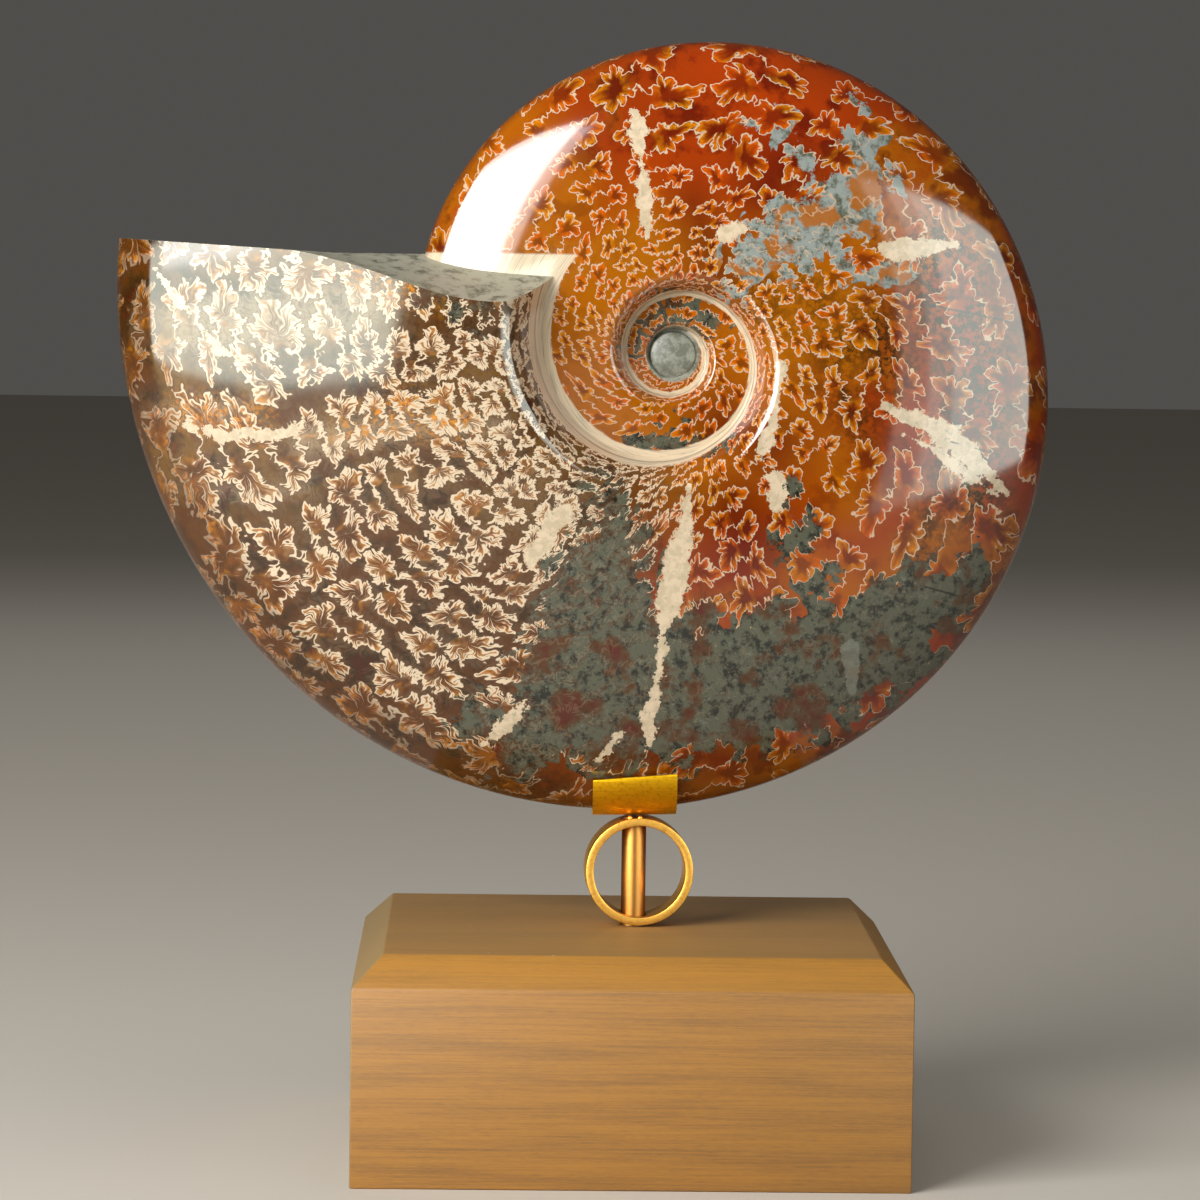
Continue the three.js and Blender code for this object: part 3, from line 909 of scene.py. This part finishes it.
def core_disc():
    """The small disc in the middle of the umbilicus."""
    bm = bmesh.new()
    rim = [(r, h) for r, h in CORE_RIM] + [(r, -h) for r, h in reversed(CORE_RIM)]
    corners = [bm.verts.new(Vector((COIL_X + r, h, COIL_Z)) * MM) for r, h in rim]
    outline = [bm.edges.new(pair) for pair in zip(corners, corners[1:])]
    bmesh.ops.spin(bm, geom=corners + outline, cent=Vector((COIL_X, 0, COIL_Z)) * MM, axis=(0, 1, 0),
                   angle=FULL_TURN, steps=ROUND_STEPS // 2, use_merge=True)
    bmesh.ops.remove_doubles(bm, verts=bm.verts, dist=1e-6)
    return bm


def cut_height(x, y):
    """The height of the aperture's cut, in millimetres."""
    share = min(max((x - CUT_LEAN_FROM_X) / (CUT_LEAN_TO_X - CUT_LEAN_FROM_X), 0), 1)
    lean = CUT_LEAN * share * share * (3 - 2 * share)
    return CUT_Z + CUT_RISE * max(CUT_LEVEL_X - x, 0) - lean * abs(y)


def aperture_cutter():
    """Everything above the aperture's cut."""
    long, wide, high = CUT_SIZE
    bm = bmesh.new()
    bmesh.ops.create_grid(bm, x_segments=CUT_STEPS[0], y_segments=CUT_STEPS[1], size=0.5)
    lower = list(bm.verts)
    for vert in lower:
        x = CUT_RIGHT_X - long / 2 + vert.co.x * long
        y = vert.co.y * wide
        vert.co = Vector((x, y, cut_height(x, y))) * MM
    sheet = bmesh.ops.extrude_face_region(bm, geom=list(bm.faces))
    for vert in (item for item in sheet["geom"] if isinstance(item, bmesh.types.BMVert)):
        vert.co.z = (CUT_Z + high) * MM
    return bm


class AMMONITE_OT_fossil(bpy.types.Operator):
    """Build the coiled fossil with its sutures, rock and shell"""

    bl_idname = "ammonite.fossil"
    bl_label = "Fossil"

    def execute(self, context):
        look = context.scene.ammonite_fossil
        coil = Coil(look)
        stretches = []
        for index in range(STRETCHES):
            stretches.append(new_piece(f"stretch_{index}", whorl_stretch(coil, index * STRETCH_RINGS)))
        combined(stretches[-1], [new_piece("aperture_cut", aperture_cutter())], "DIFFERENCE")
        piece = combined(stretches[0], [new_piece("core", core_disc()), *stretches[1:]], "UNION")
        piece.name = piece.data.name = "ammonite_fossil"
        materials = [fossil_material(look), stone_material(look)]
        finished(piece, materials, "ammonite", FOSSIL_SHARP)
        for face in piece.data.polygons:
            x, y, z = face.center / MM
            on_cut = x < CUT_FACE_TO_X and abs(z - cut_height(x, y)) < CUT_FACE_DEPTH
            face.material_index = int(on_cut and face.normal.z > CUT_FACE_TILT)
        return {"FINISHED"}


# The stand, in millimetres. The ring and the saddle sit one above the other on the post.
GAP = 0.3
RING_X = 1.8
RING_RADIUS = 9
RING_WALL = 1.3
RING_WIDTH = 7
RING_YAW = math.radians(2.5)
POST_X = 1
POST_RADIUS = 2.05
SOCKET_DEPTH = 18
SOLDER_RADIUS = 0.45
SOLDER_SEGMENTS = {"u_segments": 24, "v_segments": 16}
SOLDER_X = (0.2, 1.9)
SOLDER_Y = 0.6 - RING_WIDTH / 2
SADDLE_X = 0.8
SADDLE_LENGTH = 14
SADDLE_RADIUS = 9
SADDLE_WALL = 0.8
SADDLE_TILT = math.radians(1)
SADDLE_RIM_DROP = 1.8
SADDLE_RIM_SLANT = math.radians(3.9)


def block_height():
    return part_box("block")[1].z / MM


def ring_middle():
    return block_height() + GAP + RING_RADIUS


def bevelled(bm, width, angle=math.radians(40), segments=2):
    """Rounds the edges where the surface turns by more than an angle."""
    edges = [edge for edge in bm.edges if len(edge.link_faces) == 2 and edge.calc_face_angle(0) > angle]
    bmesh.ops.bevel(bm, geom=edges, offset=width, offset_type="OFFSET", affect="EDGES", segments=segments,
                    profile=0.5, material=-1, clamp_overlap=True)


def placed(bm, *transforms):
    """Moves the whole shape by transforms, first to last."""
    for transform in transforms:
        bmesh.ops.transform(bm, matrix=transform, verts=bm.verts)


def box_face(bm, low, high):
    """A rectangle in the XZ plane, as one face."""
    corners = [(low[0], 0, low[1]), (high[0], 0, low[1]), (high[0], 0, high[1]), (low[0], 0, high[1])]
    return bm.faces.new([bm.verts.new(Vector(corner) * MM) for corner in corners])


def spun(bm, wall, angle, steps):
    """Turns a wall about X. A full turn is closed."""
    bmesh.ops.spin(bm, geom=[wall, *wall.edges, *wall.verts], cent=(0, 0, 0), axis=(1, 0, 0),
                   angle=angle, steps=steps, use_merge=angle == FULL_TURN)
    bmesh.ops.remove_doubles(bm, verts=bm.verts, dist=1e-7)


def saddle_piece(look):
    """The lower part of a tube along X, cut to a slightly slanted rim on both sides."""
    bm = bmesh.new()
    half = SADDLE_LENGTH / 2
    wall = box_face(bm, (-half, -SADDLE_RADIUS), (half, SADDLE_WALL - SADDLE_RADIUS))
    placed(bm, Matrix.Rotation(-math.pi / 2, 4, "X"))
    spun(bm, wall, math.pi, ROUND_STEPS // 2)
    level = Vector((-math.sin(SADDLE_RIM_SLANT), 0, math.cos(SADDLE_RIM_SLANT)))
    cut = bmesh.ops.bisect_plane(bm, geom=[*bm.verts, *bm.edges, *bm.faces], plane_no=level,
                                 plane_co=(0, 0, -SADDLE_RIM_DROP * MM), clear_outer=True)
    rim = [item for item in cut["geom_cut"] if isinstance(item, bmesh.types.BMEdge)]
    bmesh.ops.holes_fill(bm, edges=rim, sides=0)
    bevelled(bm, look.bevel)
    bottom = ring_middle() + RING_RADIUS + GAP
    placed(bm, Matrix.Rotation(-SADDLE_TILT, 4, "Y"),
           Matrix.Translation(Vector((SADDLE_X, 0, bottom + SADDLE_RADIUS)) * MM))
    return new_piece("brass_saddle", bm)


def cylinder(radius, low, high, x):
    bm = bmesh.new()
    bmesh.ops.create_cone(bm, cap_ends=True, segments=ROUND_STEPS // 2, radius1=radius * MM,
                          radius2=radius * MM, depth=(high - low) * MM)
    placed(bm, Matrix.Translation(Vector((x, 0, (low + high) / 2)) * MM))
    return bm


def ring_piece(look):
    """A slice of tube on its edge, drilled for the post, with two drops of solder on top."""
    bm = bmesh.new()
    half = RING_WIDTH / 2
    wall = box_face(bm, (-half, RING_RADIUS - RING_WALL), (half, RING_RADIUS))
    spun(bm, wall, FULL_TURN, ROUND_STEPS)
    # The spin leaves a wall at every step, and those are deleted.
    inner = [face for face in bm.faces if all(len(edge.link_faces) > 2 for edge in face.edges)]
    bmesh.ops.delete(bm, geom=inner, context="FACES")
    bmesh.ops.recalc_face_normals(bm, faces=bm.faces)
    bevelled(bm, look.bevel)
    middle = ring_middle()
    placed(bm, Matrix.Rotation(math.pi / 2 + RING_YAW, 4, "Z"),
           Matrix.Translation(Vector((RING_X, 0, middle)) * MM))
    piece = new_piece("brass_ring", bm)
    drill = cylinder(POST_RADIUS + GAP, middle - 2 * RING_RADIUS, middle + 2 * RING_RADIUS, POST_X)
    combined(piece, [new_piece("drill", drill)], "DIFFERENCE")
    drops = []
    for x in SOLDER_X:
        drop = bmesh.new()
        bmesh.ops.create_uvsphere(drop, **SOLDER_SEGMENTS, radius=SOLDER_RADIUS * MM)
        placed(drop, Matrix.Translation(Vector((x, SOLDER_Y, middle + RING_RADIUS)) * MM))
        drops.append(new_piece("solder", drop))
    return combined(piece, drops, "UNION")


def post_piece(look):
    low = block_height() - SOCKET_DEPTH + GAP
    bm = cylinder(POST_RADIUS, low, ring_middle() + RING_RADIUS, POST_X)
    bevelled(bm, look.bevel)
    return new_piece("brass_post", bm)


class AMMONITE_OT_brass(bpy.types.Operator):
    """Build the brass saddle, ring and post"""

    bl_idname = "ammonite.brass"
    bl_label = "Brass"

    def execute(self, context):
        look = context.scene.ammonite_stand
        pieces = [
            ("saddle", saddle_piece(look), "satin_brass", look.saddle_brass),
            ("ring", ring_piece(look), "turned_brass", look.brass),
            ("post", post_piece(look), "brushed_brass", look.post_brass),
        ]
        for axis, (node, piece, name, light) in enumerate(pieces):
            finished(piece, [brass_material(look, name, axis, light)], node)
        return {"FINISHED"}


class AMMONITE_OT_block(bpy.types.Operator):
    """Build the chamfered wood block"""

    bl_idname = "ammonite.block"
    bl_label = "Block"

    def execute(self, context):
        look = context.scene.ammonite_stand
        low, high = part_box("block")
        bm = bmesh.new()
        bmesh.ops.create_cube(bm, size=1)
        size = high - low
        placed(bm, Matrix.Diagonal((*size, 1)), Matrix.Translation((low + high) / 2))
        top = [edge for edge in bm.edges if all(vert.co.z > high.z - MM for vert in edge.verts)]
        bmesh.ops.bevel(bm, geom=top, offset=look.chamfer, offset_type="OFFSET", affect="EDGES", segments=1,
                        profile=0.5, material=-1)
        bevelled(bm, look.wood_bevel, segments=3)
        piece = new_piece("wood_block", bm)
        bore_low = high.z / MM - SOCKET_DEPTH
        bore = cylinder(POST_RADIUS + GAP, bore_low, high.z / MM + SOCKET_DEPTH, POST_X)
        combined(piece, [new_piece("bore", bore)], "DIFFERENCE")
        finished(piece, [wood_material(look)], "block", WOOD_SHARP)
        return {"FINISHED"}


# The camera stands where the photographer's did. Its place is in metres and its field is that of a long lens.
CAMERA_PLACE = (-0.0231, -0.7871, 0.1493)
CAMERA_PAN = math.radians(-1.302)
CAMERA_TIP = math.radians(85.818)
CAMERA_ROLL = math.radians(0.762)
CAMERA_LENS = 141.78
CAMERA_SENSOR = 36
CAMERA_NEAREST = 0.05
FLOOR_COLOUR = (0.5, 0.455, 0.39, 1)
ROOM_COLOUR = (0.8, 0.77, 0.72, 1)
WHITE = (1, 1, 1)
SHEEN_TONE = (0.9, 1, 0.93)
LOW_TONE = (0.9, 1, 0.88)
LIT_SPOT = Vector((-6, -10, 135)) * MM
# Each light's azimuth and elevation in degrees, distance and size in metres, setting for its power, share of
# that power, tone, whether it lights surfaces and whether it is mirrored in them. The right sheen fades out
# to the left, so its light is three panels with one right edge in common.
LIGHTS = {
    "left_softbox": (-44, 22, 0.75, (0.52, 0.42), "key_power", 1, WHITE, True, True),
    "left_sheen": (-42.5, 18, 0.75, (0.58, 0.46), "key_power", 0.62, WHITE, False, True),
    "left_low_sheen": (-42, -3, 0.75, (0.85, 0.18), "key_power", 0.4, LOW_TONE, False, True),
    "left_lowest_sheen": (-42, -7, 0.75, (0.85, 0.3), "key_power", 0.07, LOW_TONE, False, True),
    "fill_softbox": (49, 3, 0.75, (0.72, 0.62), "fill_power", 0.1, WHITE, True, False),
    "right_sheen_0": (48.6, 4, 0.75, (0.74, 0.62), "fill_power", 0.5032, SHEEN_TONE, False, True),
    "right_sheen_1": (51.4, 4, 0.75, (0.65, 0.62), "fill_power", 0.442, SHEEN_TONE, False, True),
    "right_sheen_2": (54.3, 4, 0.75, (0.56, 0.62), "fill_power", 0.3808, SHEEN_TONE, False, True),
    "back_softbox": (180, 35, 1.2, (0.9, 0.7), "top_power", 1, WHITE, True, False),
    "top_softbox": (10, 75, 0.9, (0.8, 0.8), "top_power", 1, WHITE, True, False),
}


def softbox(name, azimuth, elevation, distance, size, power, tone, lit, mirrored):
    """A rectangular light aimed at the fossil. Azimuth 0 is the viewer's side, and 90 is the right."""
    light = bpy.data.lights.new(name, "AREA")
    light.shape = "RECTANGLE"
    light.size, light.size_y = size
    light.energy = power
    light.color = tone
    lamp = new_object(name, light)
    turn = Matrix.Rotation(math.radians(azimuth), 3, "Z") @ Matrix.Rotation(-math.radians(elevation), 3, "X")
    away = turn @ Vector((0, -1, 0))
    lamp.location = LIT_SPOT + away * distance
    lamp.rotation_euler = away.to_track_quat("Z", "Y").to_euler()
    lamp.visible_camera = False
    lamp.visible_diffuse = lit
    lamp.visible_glossy = mirrored


class AMMONITE_OT_stage(bpy.types.Operator):
    """Set up the floor, the lights and the camera"""

    bl_idname = "ammonite.stage"
    bl_label = "Stage"

    def execute(self, context):
        look = context.scene.ammonite_stage
        bm = bmesh.new()
        bmesh.ops.create_grid(bm, x_segments=1, y_segments=1, size=look.floor_size / 2)
        floor = new_piece("floor", bm)
        paper = Shader("pale_floor", {"Base Color": FLOOR_COLOUR, "Roughness": 0.8})
        floor.data.materials.append(paper.material)
        for name, (azimuth, elevation, distance, size, setting, share, tone, lit, mirrored) in LIGHTS.items():
            power = getattr(look, setting) * share
            softbox(name, azimuth, elevation, distance, size, power, tone, lit, mirrored)
        world = bpy.data.worlds.new("room")
        world.use_nodes = True
        background = world.node_tree.nodes["Background"]
        background.inputs["Color"].default_value = ROOM_COLOUR
        background.inputs["Strength"].default_value = look.room
        context.scene.world = world
        context.scene.view_settings.view_transform = "Standard"
        camera = bpy.data.cameras.new("camera")
        camera.lens = CAMERA_LENS
        camera.sensor_width = CAMERA_SENSOR
        camera.clip_start = CAMERA_NEAREST
        viewer = new_object("camera", camera)
        turn = (Matrix.Rotation(CAMERA_PAN, 4, "Z") @ Matrix.Rotation(CAMERA_TIP, 4, "X")
                @ Matrix.Rotation(CAMERA_ROLL, 4, "Z"))
        viewer.matrix_world = Matrix.Translation(CAMERA_PLACE) @ turn
        context.scene.camera = viewer
        return {"FINISHED"}


class AMMONITE_PT_panel(bpy.types.Panel):
    bl_idname = "AMMONITE_PT_panel"
    bl_label = "Ammonite"
    bl_space_type = "VIEW_3D"
    bl_region_type = "UI"
    bl_category = "Ammonite"

    def draw(self, context):
        for operator, settings in STEPS:
            self.layout.operator(operator.bl_idname)
            group = getattr(context.scene, settings)
            for prop in group.bl_rna.properties:
                if prop.identifier not in {"rna_type", "name"}:
                    self.layout.prop(group, prop.identifier)


STEPS = [
    (AMMONITE_OT_fossil, "ammonite_fossil"),
    (AMMONITE_OT_brass, "ammonite_stand"),
    (AMMONITE_OT_block, "ammonite_stand"),
    (AMMONITE_OT_stage, "ammonite_stage"),
]
GROUPS = {
    "ammonite_fossil": FossilSettings,
    "ammonite_stand": StandSettings,
    "ammonite_stage": StageSettings,
}


def register():
    for name, group in GROUPS.items():
        bpy.utils.register_class(group)
        setattr(bpy.types.Scene, name, PointerProperty(type=group))
    for operator, _ in STEPS:
        bpy.utils.register_class(operator)
    bpy.utils.register_class(AMMONITE_PT_panel)


def unregister():
    bpy.utils.unregister_class(AMMONITE_PT_panel)
    for operator, _ in reversed(STEPS):
        bpy.utils.unregister_class(operator)
    for name, group in GROUPS.items():
        delattr(bpy.types.Scene, name)
        bpy.utils.unregister_class(group)


def main():
    register()
    bpy.ops.ammonite.fossil()
    bpy.ops.ammonite.brass()
    bpy.ops.ammonite.block()
    bpy.ops.ammonite.stage()


if __name__ == "__main__":
    main()
